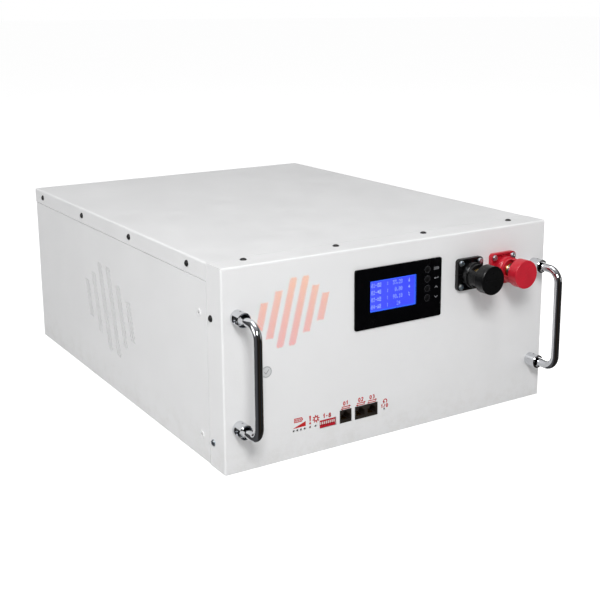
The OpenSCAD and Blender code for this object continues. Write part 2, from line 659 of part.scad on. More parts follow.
module socket_hollow() {             // plug way with its latch step on top
    translate([0, -1.1, -12.5]) slab(11.8, 7.2, 14);
    translate([0, 3.4, -12.5]) slab(6.4, 2.2, 14);
    translate([0, 5.1, -12.5]) slab(3.4, 1.4, 14);
}
module single_network_socket() color([0.13, 0.11, 0.09]) on_front(jack1_c[0], jack1_c[1]) difference() {
    translate([0, 0, -16]) slab(15.7, 15.2, 15.6);
    socket_hollow();
}
module double_network_socket() color([0.13, 0.11, 0.09]) on_front(jack2_c[0], jack2_c[1]) difference() {
    translate([0, 0, -16]) slab(31.1, 15.2, 15.6);
    for (s = [-1, 1]) translate([s * 7.7, 0, 0]) socket_hollow();
}
module contact_row() for (k = [0 : 7])
    translate([(k - 3.5) * 1.02 - 0.2, -4.69, -12.4]) { cube([0.4, 0.5, 9]); translate([0, 0, 0]) cube([0.4, 2.6, 0.5]); }
module socket_contacts() color([0.85, 0.65, 0.2]) {
    on_front(jack1_c[0], jack1_c[1]) contact_row();
    for (s = [-1, 1]) on_front(jack2_c[0] + s * 7.7, jack2_c[1]) contact_row();
}
module reset_switch_body() color(blackish) on_front(reset_x, lamp_z) difference() {
    translate([0, -(lamp_z - board_top) / 2 + 1.5, -9]) slab(6, lamp_z - board_top + 3 - 0.02, 4.5);
    translate([0, 0, -7.2]) cylinder(r = 1.35, h = 4);
}
module reset_key() color([0.05, 0.05, 0.05]) on_front(reset_x, lamp_z) translate([0, 0, -6]) cylinder(r = 1.05, h = 5.2);

// ---------- cell pack ----------
pack_y1 = back_y - 8;                // rear face of the rear row of cells
pitch_y = cell_t + 0.4;
pack_y0 = pack_y1 - 8 * pitch_y + 0.4;
floor_top = sheet + 2;
cell_top = floor_top + cell_h;
pole_x = 62;
function cell_x(c) = c * (cell_w / 2 + 2);
function cell_y(k) = pack_y0 + pitch_y * k + cell_t / 2;

module battery_cells() color([0.15, 0.35, 0.65])
    for (c = [-1, 1], k = [0 : 7]) translate([cell_x(c), cell_y(k), floor_top]) {
        translate([-cell_w / 2, -cell_t / 2, 0]) cube([cell_w, cell_t, cell_h]);
        for (p = [-1, 1]) translate([p * pole_x, 0, cell_h - eps]) cylinder(r = 9, h = 2);
        translate([0, 0, cell_h - eps]) cylinder(r = 5, h = 0.6);
    }
module bar_link(x, y, l) {
    translate([x - 10, y - 9, cell_top + 2]) cube([20, l + 18, 2]);
    for (d = [0, l]) translate([x, y + d, cell_top + 4 - eps]) cylinder(r = 6.5, h = 4, $fn = 6);
}
module cell_busbars() color([0.75, 0.5, 0.25]) {
    for (c = [-1, 1], k = [0 : 6]) bar_link(cell_x(c) + ((k % 2 == 0) ? -c : c) * pole_x * 1, cell_y(k), pitch_y);
    // rear link between the two columns
    translate([-cell_x(1) + pole_x - 10 - 0, cell_y(7) - 9, cell_top + 2]) cube([2 * (cell_x(1) - pole_x) + 20, 18, 2]);
    // strap from the pack's negative pole down to the management board
    translate([-cell_x(1) - pole_x + 0, 0, 0]) {
        translate([-10, front_y + 126.5, cell_top + 2]) cube([20, cell_y(0) + 9 - front_y - 126.5, 2]);
        translate([-10, front_y + 126.5, 140]) cube([20, 2, cell_top + 2 - 140 + eps]);
    }
}
module pack_end_plates() color([0.7, 0.72, 0.74])
    for (y = [pack_y0 - 4.2, pack_y1 + 0.2]) difference() {
        translate([-192, y, floor_top]) cube([384, 4, 190]);
        for (s = [-1, 1], z = [45, 150]) translate([s * 184, y - 1, z]) rotate([-90, 0, 0]) cylinder(r = 3.2, h = 6);
    }
module pack_tie_rods() color(zinc)
    for (s = [-1, 1], z = [45, 150]) translate([s * 184, 0, z]) {
        translate([0, pack_y0 - 11, 0]) rotate([-90, 0, 0]) cylinder(r = 3, h = pack_y1 - pack_y0 + 15);
        translate([0, pack_y0 - 4.2 - 5.2, 0]) rotate([-90, 0, 0]) cylinder(r = 5.8, h = 5.1, $fn = 6);
    }
module pack_floor_pad() color([0.2, 0.2, 0.22])
    translate([-180, pack_y0 - 5, sheet]) cube([360, pack_y1 - pack_y0 + 10, 2]);

bms_y = front_y + 128.5;             // front face of the management board
module bms_board() color([0.05, 0.3, 0.15]) {
    translate([-168, bms_y, 60]) cube([300, 2, 115]);
    for (x = [-160, 124], z = [66, 169]) translate([x, bms_y + 2 - eps, z]) rotate([-90, 0, 0]) cylinder(r = 3, h = pack_y0 - 4.2 - bms_y - 2 + eps);
    // landing of the negative cable
    translate([term_x[0] - 8, bms_y - 3, 112]) cube([16, 3 + eps, 18]);
    // power transistors under the heat sink
    for (k = [0 : 9]) translate([-120 + k * 17, bms_y - 3, 84]) cube([11, 3 + eps, 16]);
    for (k = [0 : 9]) translate([-120 + k * 17, bms_y - 3, 118]) cube([11, 3 + eps, 16]);
    translate([60, bms_y - 8, 70]) cube([30, 8 + eps, 8]);
    translate([60, bms_y - 6, 150]) cube([40, 6 + eps, 9]);
}
module bms_heat_sink() color([0.6, 0.62, 0.65]) translate([-128, bms_y - 3, 0]) {
    translate([0, -4, 78]) cube([186, 4, 62]);
    for (k = [0 : 12]) translate([0, -18, 78 + k * 5]) cube([186, 14 + eps, 2]);
}

// Insulated lead that hangs in a loop between two upright ends.
module looped_lead(x, ya, za, yb, zb, zt, r) {
    rm = (yb - ya) / 2;
    translate([x, ya, zt]) cylinder(r = r, h = za - zt);
    translate([x, yb, zt]) cylinder(r = r, h = zb - zt);
    translate([x, (ya + yb) / 2, zt]) rotate([90, 0, 90]) rotate(180)
        rotate_extrude(angle = 180) translate([rm, 0]) circle(r = r);
}
module stud_lug(x) {                 // lug on the inside end of a stud, its barrel below
    on_front(x, term_z) translate([0, 0, -27]) {
        difference() {
            linear_extrude(3) union() { circle(9); translate([-6, -22]) square([12, 22]); }
            translate([0, 0, -1]) cylinder(r = 4.02, h = 5);
        }
    }
    translate([x, front_y + 25.5, term_z - 38]) cylinder(r = 6, h = 17);
}
module positive_cable() color([0.75, 0.08, 0.1]) {
    x = term_x[1];
    ya = front_y + 25.5;
    yb = front_y + 98;
    stud_lug(x);
    looped_lead(x, ya, term_z - 37, yb, cell_top + 7.5 - 20, 105, 5);
    translate([x, yb + 20, cell_top + 7.5 - 20]) rotate([90, 0, 90]) rotate(90)
        rotate_extrude(angle = 90) translate([20, 0]) circle(r = 5);
    translate([x, yb + 20, cell_top + 7.5]) rotate([-90, 0, 0]) cylinder(r = 5, h = cell_y(0) - 22 - yb - 20);
    translate([x, cell_y(0) - 23, cell_top + 7.5]) rotate([-90, 0, 0]) cylinder(r = 5.4, h = 12);
    translate([x - 7, cell_y(0) - 13, cell_top + 2]) cube([14, 22, 2.5]);
    translate([x - 5, cell_y(0) - 13, cell_top + 2]) cube([10, 3, 9]);
}
module negative_cable() color([0.08, 0.08, 0.08]) {
    x = term_x[0];
    ya = front_y + 25.5;
    yb = bms_y - 6.6;
    stud_lug(x);
    looped_lead(x, ya, term_z - 37, yb, 96, 88, 5);
    translate([x, yb, 94]) cylinder(r = 6, h = 13);
    translate([x - 7, yb - 1.5, 105]) cube([14, 5.08, 24]);
}

chassis_tray();
top_cover();
front_panel();
cover_screws();
panel_top_screws();
panel_upper_side_screws();
panel_lower_side_screws();
rack_ear_inserts();
front_vent_screen();
side_vent_screens();
handle_posts();
handle_pins();
handle_post_screws();
left_handle_bar();
right_handle_bar();
negative_terminal_base();
positive_terminal_base();
terminal_flange_screws();
negative_terminal_stud();
positive_terminal_stud();
terminal_stud_nuts();
negative_terminal_sleeve();
positive_terminal_sleeve();
negative_terminal_cap();
positive_terminal_cap();
display_bezel();
display_window();
display_module();
display_board();
display_key_1();
display_key_2();
display_key_3();
display_key_4();
interface_board();
charge_and_run_lamps();
alarm_lamp();
address_switch_body();
address_slider_1();
address_slider_2();
address_slider_3();
address_slider_4();
address_slider_5();
address_slider_6();
address_slider_7();
address_slider_8();
single_network_socket();
double_network_socket();
socket_contacts();
reset_switch_body();
reset_key();
battery_cells();
cell_busbars();
pack_end_plates();
pack_tie_rods();
pack_floor_pad();
bms_board();
bms_heat_sink();
positive_cable();
negative_cable();
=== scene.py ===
import bpy, bmesh, math, random
from mathutils import Vector, Matrix

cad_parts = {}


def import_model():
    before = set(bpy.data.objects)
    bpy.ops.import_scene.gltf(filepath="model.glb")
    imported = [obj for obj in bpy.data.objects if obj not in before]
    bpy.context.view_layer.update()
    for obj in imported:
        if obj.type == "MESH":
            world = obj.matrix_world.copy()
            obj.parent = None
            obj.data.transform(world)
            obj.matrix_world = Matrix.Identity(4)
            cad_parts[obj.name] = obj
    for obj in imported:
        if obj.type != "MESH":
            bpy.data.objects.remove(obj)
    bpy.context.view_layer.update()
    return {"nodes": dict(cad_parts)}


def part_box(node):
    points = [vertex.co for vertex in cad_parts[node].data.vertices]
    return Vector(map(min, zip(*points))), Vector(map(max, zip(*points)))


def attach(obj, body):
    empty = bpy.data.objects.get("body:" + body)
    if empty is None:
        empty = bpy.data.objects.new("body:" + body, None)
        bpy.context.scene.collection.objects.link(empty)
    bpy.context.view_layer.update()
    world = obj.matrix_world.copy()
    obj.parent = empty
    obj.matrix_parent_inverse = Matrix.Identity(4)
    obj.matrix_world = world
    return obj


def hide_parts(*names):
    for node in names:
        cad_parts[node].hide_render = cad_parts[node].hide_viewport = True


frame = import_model()


NODE = frame["nodes"]
MM = 0.001
TAU = 2 * math.pi
rng = random.Random(7)

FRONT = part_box("front_panel")[0].y            # plane of the front sheet
CASE_LO, CASE_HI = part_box("front_panel")
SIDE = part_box("top_cover")[1].x


# ------------------------------------------------------------------ camera
def camera():
    yaw, pitch, roll = (math.radians(a) for a in (-31.684, -12.539, 0.441))
    turn = Matrix.Rotation(yaw, 3, "Z") @ Matrix.Rotation(pitch, 3, "X") @ Matrix.Rotation(roll, 3, "Y")
    right, ahead, up = turn.col[0], turn.col[1], turn.col[2]
    m = Matrix.Identity(4)
    for i in range(3):
        m[i][0], m[i][1], m[i][2] = right[i], up[i], -ahead[i]
    m[0][3], m[1][3], m[2][3] = -0.6871, -1.17255, 0.4770
    data = bpy.data.cameras.new("camera")
    data.sensor_width = 36
    data.lens = 1053.8 * 36 / 600
    data.shift_y = -0.1
    data.clip_start = 0.01
    data.clip_end = 60
    cam = bpy.data.objects.new("camera", data)
    cam.matrix_world = m
    bpy.context.scene.collection.objects.link(cam)
    bpy.context.scene.camera = cam
    return cam


CAM = camera()


# ------------------------------------------------------------------ material kit
class Mat:
    """A node material built step by step around one Principled shader."""

    def __init__(self, name, base=(0.8, 0.8, 0.8), rough=0.5, metal=0.0, **consts):
        self.m = bpy.data.materials.new(name)
        self.m.use_nodes = True
        self.t = self.m.node_tree
        self.n = self.t.nodes
        self.sh = [x for x in self.n if x.type == "BSDF_PRINCIPLED"][0]
        self.out = [x for x in self.n if x.type == "OUTPUT_MATERIAL"][0]
        self.set("Base Color", (*base, 1))
        self.set("Roughness", rough)
        self.set("Metallic", metal)
        for k, v in consts.items():
            self.set(k.replace("_", " "), v)
        self.m.diffuse_color = (*base, 1)
        self._co = None
        self.height = None

    def set(self, k, v):
        self.sh.inputs[k].default_value = v
        return self

    def node(self, kind, **props):
        x = self.n.new(kind)
        for k, v in props.items():
            setattr(x, k, v)
        return x

    def wire(self, a, b):
        self.t.links.new(a, b)

    def co(self):
        if self._co is None:
            self._co = self.node("ShaderNodeTexCoord").outputs["Object"]
        return self._co

    def mapped(self, scale=(1, 1, 1), turn=(0, 0, 0)):
        x = self.node("ShaderNodeMapping")
        x.inputs["Scale"].default_value = scale
        x.inputs["Rotation"].default_value = turn
        self.wire(self.co(), x.inputs["Vector"])
        return x.outputs["Vector"]

    def noise(self, scale, detail=2.0, rough=0.5, vec=None, distort=0.0):
        x = self.node("ShaderNodeTexNoise")
        x.inputs["Scale"].default_value = scale
        x.inputs["Detail"].default_value = detail
        x.inputs["Roughness"].default_value = rough
        x.inputs["Distortion"].default_value = distort
        self.wire(vec if vec is not None else self.co(), x.inputs["Vector"])
        return x.outputs[0]

    def voronoi(self, scale, feature="F1", out="Distance", vec=None, rand=1.0):
        x = self.node("ShaderNodeTexVoronoi", feature=feature)
        x.inputs["Scale"].default_value = scale
        x.inputs["Randomness"].default_value = rand
        self.wire(vec if vec is not None else self.co(), x.inputs["Vector"])
        return x.outputs[out]

    def math(self, op, a, b=None, clamp=False):
        x = self.node("ShaderNodeMath", operation=op, use_clamp=clamp)
        for i, v in enumerate((a, b)):
            if v is None:
                continue
            if isinstance(v, (int, float)):
                x.inputs[i].default_value = v
            else:
                self.wire(v, x.inputs[i])
        return x.outputs[0]

    def ramp(self, fac, lo, hi, a=0.0, b=1.0, smooth=False):
        x = self.node("ShaderNodeMapRange", clamp=True)
        if smooth:
            x.interpolation_type = "SMOOTHSTEP"
        self.wire(fac, x.inputs["Value"])
        for k, v in (("From Min", lo), ("From Max", hi), ("To Min", a), ("To Max", b)):
            x.inputs[k].default_value = v
        return x.outputs["Result"]

    def mix(self, fac, a, b, mode="MIX"):
        x = self.node("ShaderNodeMix", data_type="RGBA", blend_type=mode)
        ins = [i for i in x.inputs if i.enabled]
        out = [o for o in x.outputs if o.enabled][0]
        if isinstance(fac, (int, float)):
            ins[0].default_value = fac
        else:
            self.wire(fac, ins[0])
        for i, v in ((1, a), (2, b)):
            if isinstance(v, (tuple, list)):
                ins[i].default_value = (*v[:3], 1)
            else:
                self.wire(v, ins[i])
        return out

    def colour(self, sock):
        self.wire(sock, self.sh.inputs["Base Color"])
        return self

    def rough(self, sock):
        self.wire(sock, self.sh.inputs["Roughness"])
        return self

    def bump(self, height, strength=0.3, dist=0.0002, under=None):
        x = self.node("ShaderNodeBump")
        x.inputs["Strength"].default_value = strength
        x.inputs["Distance"].default_value = dist
        self.wire(height, x.inputs["Height"])
        if under is not None:
            self.wire(under, x.inputs["Normal"])
        self.wire(x.outputs["Normal"], self.sh.inputs["Normal"])
        return x.outputs["Normal"]

    def z_of(self, axis=2):
        x = self.node("ShaderNodeSeparateXYZ")
        self.wire(self.co(), x.inputs[0])
        return x.outputs[axis]

    def edges(self, radius, lo=0.02, hi=0.25):
        """0 on flats, towards 1 on outer edges."""
        b = self.node("ShaderNodeBevel", samples=6)
        b.inputs["Radius"].default_value = radius
        g = self.node("ShaderNodeNewGeometry")
        d = self.node("ShaderNodeVectorMath", operation="DOT_PRODUCT")
        self.wire(b.outputs["Normal"], d.inputs[0])
        self.wire(g.outputs["Normal"], d.inputs[1])
        return self.ramp(d.outputs["Value"], 1 - hi, 1 - lo, 1.0, 0.0)


def shade(c, f):
    return tuple(max(0.0, min(1.0, x * f)) for x in c)


# ------------------------------------------------------------------ materials
def powder(name="powder_coat_white", base=(0.86, 0.862, 0.866)):
    m = Mat(name, base, 0.42, Specular_IOR_Level=0.45)
    m.set("Coat Weight", 0.12).set("Coat Roughness", 0.22)
    broad = m.noise(9, 3)
    mid = m.noise(95, 3, 0.6)
    tone = m.mix(m.ramp(broad, 0.3, 0.7), shade(base, 0.972), shade(base, 1.012))
    tone = m.mix(m.ramp(mid, 0.35, 0.7, 0, 0.5), tone, shade(base, 0.985))
    # faint dust that gathers low down and in patches
    low = m.ramp(m.z_of(), 0.0, 0.05, 1, 0)
    dust = m.math("MULTIPLY", low, m.ramp(m.noise(60, 4, 0.7), 0.45, 0.8))
    tone = m.mix(m.math("MULTIPLY", dust, 0.35), tone, (0.60, 0.58, 0.54))
    # sparse hairline rubs
    rub = m.noise(40, 5, 0.65, m.mapped((0.35, 1.0, 6.0), (0.2, 0.3, 0.5)))
    rub = m.ramp(rub, 0.70, 0.78)
    tone = m.mix(m.math("MULTIPLY", rub, 0.10), tone, (0.62, 0.62, 0.62))
    m.colour(tone)
    r = m.ramp(m.noise(30, 4, 0.6), 0.3, 0.75, 0.36, 0.50)
    m.rough(m.math("ADD", r, m.math("MULTIPLY", rub, 0.08), True))
    peel = m.noise(720, 2.5, 0.55)
    grit = m.voronoi(1500, "SMOOTH_F1")
    wave = m.noise(7, 1)
    first = m.bump(wave, 0.10, 0.004)
    second = m.bump(peel, 0.34, 0.0004, first)
    m.bump(grit, 0.14, 0.00015, second)
    return m.m


def chrome():
    base = (0.72, 0.73, 0.75)
    m = Mat("chrome_plate", base, 0.07, 1.0)
    smear = m.noise(55, 4, 0.6)
    m.colour(m.mix(m.ramp(smear, 0.35, 0.75), base, (0.64, 0.65, 0.67)))
    fine = m.noise(900, 3, 0.7, m.mapped((1, 1, 0.12)))
    r = m.ramp(smear, 0.3, 0.8, 0.045, 0.13)
    m.rough(m.math("ADD", r, m.ramp(fine, 0.62, 0.8, 0, 0.09)))
    m.bump(m.noise(260, 2), 0.05, 0.0002)
    return m.m


def zinc(name="zinc_plate", base=(0.52, 0.62, 0.71)):
    m = Mat(name, base, 0.3, 1.0)
    hue = m.noise(380, 2)
    tone = m.mix(m.ramp(hue, 0.35, 0.7), base, (0.66, 0.66, 0.62))
    spots = m.noise(1400, 4, 0.7)
    tone = m.mix(m.ramp(spots, 0.55, 0.8, 0, 0.45), tone, (0.36, 0.38, 0.40))
    m.colour(tone)
    m.rough(m.ramp(spots, 0.3, 0.75, 0.20, 0.46))
    m.bump(spots, 0.15, 0.00008)
    return m.m


def black_steel():
    base = (0.018, 0.018, 0.02)
    m = Mat("blackened_steel", base, 0.42, 0.55)
    worn = m.math("MULTIPLY", m.edges(0.0003), m.ramp(m.noise(900, 3), 0.4, 0.65))
    m.colour(m.mix(worn, m.mix(m.noise(700, 3), base, (0.045, 0.043, 0.042)), (0.22, 0.21, 0.20)))
    m.rough(m.ramp(m.noise(1100, 3), 0.3, 0.7, 0.32, 0.52))
    m.bump(m.noise(2200, 3), 0.2, 0.00006)
    return m.m


def nylon(name, base, dark, r=(0.34, 0.5), spec=0.5, rub=(0.1, 0.1, 0.1)):
    """Moulded plastic: fine spark texture, faint flow marks, and outer edges lightened in patches towards the rub
    colour, partly rub wear and partly a painted edge highlight.
    """
    m = Mat(name, base, 0.42, Specular_IOR_Level=spec)
    flow = m.noise(70, 3, 0.6, m.mapped((1, 0.3, 1)))
    tone = m.mix(m.ramp(flow, 0.3, 0.75), base, dark)
    # painted edge highlight mixed with rub wear: outer edges, in noise patches, go half way to the paler rub colour
    rubbed_and_highlit = m.math("MULTIPLY", m.edges(0.0005), m.ramp(m.noise(420, 4, 0.65), 0.42, 0.66))
    tone = m.mix(m.math("MULTIPLY", rubbed_and_highlit, 0.5), tone, rub)
    m.colour(tone)
    m.rough(m.ramp(m.noise(240, 4, 0.6), 0.3, 0.72, *r))
    spark = m.noise(1700, 3, 0.6)
    a = m.bump(m.noise(160, 2), 0.05, 0.0005)
    m.bump(spark, 0.22, 0.00012, a)
    return m.m


def film_black():
    """Glossy printed overlay film."""
    base = (0.0012, 0.0012, 0.0016)
    m = Mat("overlay_film_black", base, 0.2, Specular_IOR_Level=0.15)
    m.colour(m.mix(m.ramp(m.noise(140, 4), 0.4, 0.8), base, (0.0025, 0.0025, 0.003)))
    prints = m.noise(48, 5, 0.7)
    m.rough(m.ramp(prints, 0.35, 0.75, 0.16, 0.34))
    m.bump(m.noise(1300, 2), 0.08, 0.00008)
    return m.m


def pane():
    """Clear screen window: see-through, with a gloss from Fresnel."""
    m = Mat("screen_window_clear", (0.9, 0.95, 1.0), 0.05)
    m.set("Transmission Weight", 0.0)
    tr = m.node("ShaderNodeBsdfTransparent")
    tr.inputs["Color"].default_value = (0.93, 0.95, 1.0, 1)
    gl = m.node("ShaderNodeBsdfGlossy")
    gl.inputs["Roughness"].default_value = 0.06
    smear = m.noise(90, 4, 0.65)
    m.wire(m.ramp(smear, 0.4, 0.8, 0.03, 0.12), gl.inputs["Roughness"])
    fr = m.node("ShaderNodeFresnel")
    fr.inputs["IOR"].default_value = 1.46
    mx = m.node("ShaderNodeMixShader")
    m.wire(m.math("MULTIPLY", fr.outputs[0], 0.8), mx.inputs[0])
    m.wire(tr.outputs[0], mx.inputs[1])
    m.wire(gl.outputs[0], mx.inputs[2])
    m.wire(mx.outputs[0], m.out.inputs["Surface"])
    return m.m


def backlight():
    base = (0.05, 0.07, 0.75)
    m = Mat("display_backlight", base, 0.4)
    lo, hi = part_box("display_window")
    x, z = m.z_of(0), m.z_of(2)

    def rim(axis, a, b, w):
        return m.math("ADD", m.ramp(axis, a, a + w, 1, 0, True), m.ramp(axis, b - w, b, 0, 1, True))

    edge = m.math("ADD", rim(x, lo.x, hi.x, 0.0022), rim(z, lo.z, hi.z, 0.0020), True)
    glow = m.noise(22, 2)
    tone = m.mix(m.ramp(glow, 0.3, 0.7), (0.055, 0.075, 0.86), (0.075, 0.10, 1.0))
    cells = m.voronoi(2300, "F1", rand=0.0)
    tone = m.mix(m.ramp(cells, 0.25, 0.5, 0, 0.12), tone, (0.03, 0.04, 0.5))
    tone = m.mix(m.math("MULTIPLY", edge, 0.7), tone, (0.03, 0.22, 1.0))
    m.colour(tone)
    m.wire(tone, m.sh.inputs["Emission Color"])
    m.set("Emission Strength", 0.92)
    return m.m


def lit(name, col, strength, base=None):
    m = Mat(name, base or col, 0.4)
    tone = m.mix(m.ramp(m.noise(800, 2), 0.3, 0.7), col, shade(col, 0.86))
    m.wire(tone, m.sh.inputs["Emission Color"])
    m.colour(tone)
    m.set("Emission Strength", strength)
    return m.m


def ink(name, col, dark, r=0.5):
    m = Mat(name, col, r)
    m.colour(m.mix(m.ramp(m.noise(1600, 4, 0.7), 0.35, 0.75), col, dark))
    m.rough(m.ramp(m.noise(500, 3), 0.3, 0.7, r - 0.08, r + 0.1))
    m.bump(m.noise(2600, 3), 0.15, 0.00005)
    return m.m


def brass():
    base = (0.72, 0.50, 0.20)
    m = Mat("turned_brass", base, 0.24, 1.0)
    m.colour(m.mix(m.ramp(m.noise(300, 4, 0.6), 0.35, 0.8), base, (0.52, 0.33, 0.13)))
    m.rough(m.ramp(m.noise(500, 3), 0.3, 0.7, 0.16, 0.34))
    m.bump(m.noise(2000, 3), 0.12, 0.00006)
    return m.m


def copper():
    base = (0.74, 0.38, 0.24)
    m = Mat("tinned_copper", base, 0.3, 1.0)
    m.colour(m.mix(m.ramp(m.noise(60, 4, 0.6), 0.35, 0.8), base, (0.48, 0.22, 0.14)))
    m.rough(m.ramp(m.noise(120, 4), 0.3, 0.7, 0.22, 0.42))
    m.bump(m.noise(900, 3, 0.6, m.mapped((1, 8, 1))), 0.12, 0.0001)
    return m.m


def gold():
    base = (0.90, 0.62, 0.22)
    m = Mat("plated_contact", base, 0.2, 1.0)
    m.colour(m.mix(m.ramp(m.noise(900, 3), 0.35, 0.8), base, (0.66, 0.42, 0.14)))
    m.rough(m.ramp(m.noise(900, 3), 0.3, 0.7, 0.14, 0.3))
    return m.m


def aluminium():
    base = (0.62, 0.63, 0.65)
    m = Mat("extruded_aluminium", base, 0.36, 1.0)
    lines = m.noise(260, 4, 0.7, m.mapped((0.02, 1, 1)))
    m.colour(m.mix(m.ramp(lines, 0.3, 0.75), base, (0.50, 0.51, 0.53)))
    m.rough(m.ramp(lines, 0.3, 0.7, 0.28, 0.46))
    m.bump(lines, 0.25, 0.00012)
    return m.m


def board():
    base = (0.012, 0.085, 0.035)
    m = Mat("circuit_board", base, 0.34)
    m.set("Coat Weight", 0.4).set("Coat Roughness", 0.15)
    tracks = m.voronoi(160, "DISTANCE_TO_EDGE", rand=0.35)
    lines = m.ramp(tracks, 0.02, 0.05, 1, 0)
    m.colour(m.mix(m.math("MULTIPLY", lines, 0.65), m.mix(m.noise(40, 3), base, shade(base, 0.7)), (0.03, 0.16, 0.06)))
    m.rough(m.ramp(m.noise(120, 3), 0.3, 0.7, 0.26, 0.42))
    m.bump(lines, 0.2, 0.00006)
    return m.m


def wrap():
    base = (0.02, 0.10, 0.36)
    m = Mat("cell_wrap_blue", base, 0.3)
    m.set("Coat Weight", 0.3).set("Coat Roughness", 0.2)
    m.colour(m.mix(m.ramp(m.noise(25, 4), 0.3, 0.75), base, (0.03, 0.14, 0.46)))
    m.rough(m.ramp(m.noise(90, 4), 0.3, 0.7, 0.22, 0.4))
    crease = m.noise(60, 4, 0.6, m.mapped((1, 1, 0.25)))
    m.bump(crease, 0.3, 0.0006)
    return m.m


def foam():
    base = (0.045, 0.045, 0.05)
    m = Mat("pad_foam", base, 0.9, Specular_IOR_Level=0.2)
    cells = m.voronoi(900, "F1")
    m.colour(m.mix(m.ramp(cells, 0.1, 0.6), (0.02, 0.02, 0.022), (0.07, 0.07, 0.075)))
    m.rough(m.ramp(m.noise(100, 3), 0.3, 0.7, 0.82, 0.96))
    m.bump(cells, 0.8, 0.0006)
    return m.m


def screen_cloth(name, top, bottom, z0, z1, painted_glow=0):
    """Fine woven dust screen behind the vents, its colour fading with height, with an optional painted glow in that
    colour.
    """
    m = Mat(name, top, 0.7, Specular_IOR_Level=0.25)
    fade = m.ramp(m.z_of(), z0, z1)
    tone = m.mix(fade, bottom, top)
    weave = m.math("MULTIPLY",
                   m.math("SINE", m.math("MULTIPLY", m.z_of(2), 9000)),
                   m.math("SINE", m.math("MULTIPLY", m.math("ADD", m.z_of(0), m.z_of(1)), 9000)))
    m.colour(m.mix(m.ramp(weave, -0.6, 0.8, 0.10, 0), tone, shade(top, 0.6)))
    # painted glow: the colour is also emitted, so the foil lights up in the holes although nothing behind it is a lamp
    if painted_glow:
        m.wire(tone, m.sh.inputs["Emission Color"])
        m.set("Emission Strength", painted_glow)
    m.rough(m.ramp(m.noise(200, 3), 0.3, 0.7, 0.6, 0.8))
    m.bump(weave, 0.4, 0.0001)
    return m.m


def lens(name, base, core):
    m = Mat(name, base, 0.12, Specular_IOR_Level=0.6)
    m.set("Coat Weight", 0.8).set("Coat Roughness", 0.05)
    m.colour(m.mix(m.ramp(m.noise(1500, 2), 0.35, 0.7), base, core))
    m.rough(m.ramp(m.noise(700, 2), 0.3, 0.7, 0.08, 0.2))
    m.bump(m.noise(1800, 2), 0.06, 0.0001)
    return m.m


M = {
    "powder": powder(),
    "chrome": chrome(),
    "zinc": zinc(),
    "black_steel": black_steel(),
    # the last colour given to nylon() is the paler edge tone, partly rub wear and partly a painted edge highlight
    "black_nylon": nylon("moulded_black", (0.0028, 0.0028, 0.003), (0.0055, 0.0055, 0.006), (0.26, 0.40), 0.32, (0.035, 0.035, 0.036)),
    "red_nylon": nylon("moulded_red", (0.62, 0.010, 0.030), (0.50, 0.008, 0.022), (0.30, 0.44), 0.5, (0.75, 0.10, 0.12)),
    "film": film_black(),
    "pane": pane(),
    "backlight": backlight(),
    "brass": brass(),
    "copper": copper(),
    "gold": gold(),
    "aluminium": aluminium(),
    "board": board(),
    "wrap": wrap(),
    "foam": foam(),
    "key": nylon("key_rubber", (0.003, 0.003, 0.0035), (0.006, 0.006, 0.007), (0.30, 0.46), 0.35, (0.05, 0.05, 0.055)),
    "socket": nylon("socket_dark", (0.020, 0.015, 0.012), (0.034, 0.026, 0.020), (0.30, 0.46), 0.5),
    "dip": nylon("switch_red", (0.60, 0.008, 0.028), (0.50, 0.006, 0.02), (0.28, 0.42), 0.5, (0.7, 0.1, 0.12)),
    "slider": nylon("switch_white", (0.80, 0.79, 0.76), (0.70, 0.69, 0.66), (0.35, 0.5), 0.5, (0.9, 0.9, 0.9)),
    "plastic": nylon("moulded_grey_black", (0.012, 0.012, 0.013), (0.022, 0.022, 0.024)),
    "lamp": lens("lamp_lens_dark", (0.010, 0.014, 0.010), (0.030, 0.045, 0.030)),
    "alarm": lens("lamp_lens_red", (0.16, 0.008, 0.008), (0.30, 0.012, 0.012)),
    "red_cable": nylon("cable_jacket_red", (0.55, 0.012, 0.02), (0.45, 0.01, 0.016), (0.4, 0.55)),
    "black_cable": nylon("cable_jacket_black", (0.014, 0.014, 0.015), (0.024, 0.024, 0.026), (0.4, 0.55)),
    "ink_red": ink("print_red", (0.60, 0.006, 0.008), (0.50, 0.008, 0.010)),
    "ink_white": ink("print_white", (0.40, 0.41, 0.43), (0.30, 0.31, 0.33)),
    "ink_grey": ink("print_grey", (0.30, 0.31, 0.32), (0.24, 0.25, 0.26)),
    "ink_dim": ink("print_dim", (0.085, 0.088, 0.095), (0.05, 0.052, 0.058)),
    "sticker": ink("sticker_film", (0.66, 0.67, 0.68), (0.60, 0.61, 0.62), 0.35),
    "lcd_lit": lit("display_characters", (0.45, 0.58, 1.0), 0.95),
}
vlo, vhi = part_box("front_vent_screen")
# front foil: orange to red fade in its own colour, plus 0.17 of painted glow
M["screen_front"] = screen_cloth("vent_foil_orange", (1.0, 0.30, 0.010), (0.84, 0.034, 0.016), vlo.z + 0.006, vhi.z - 0.004, 0.17)
slo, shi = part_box("side_vent_screens")
# painted shade: the side screen is near black so the vent holes read grey, standing in for the shadow inside the holes
M["screen_side"] = screen_cloth("dust_screen_painted_shade", (0.075, 0.075, 0.078), (0.065, 0.065, 0.068), slo.z, shi.z)

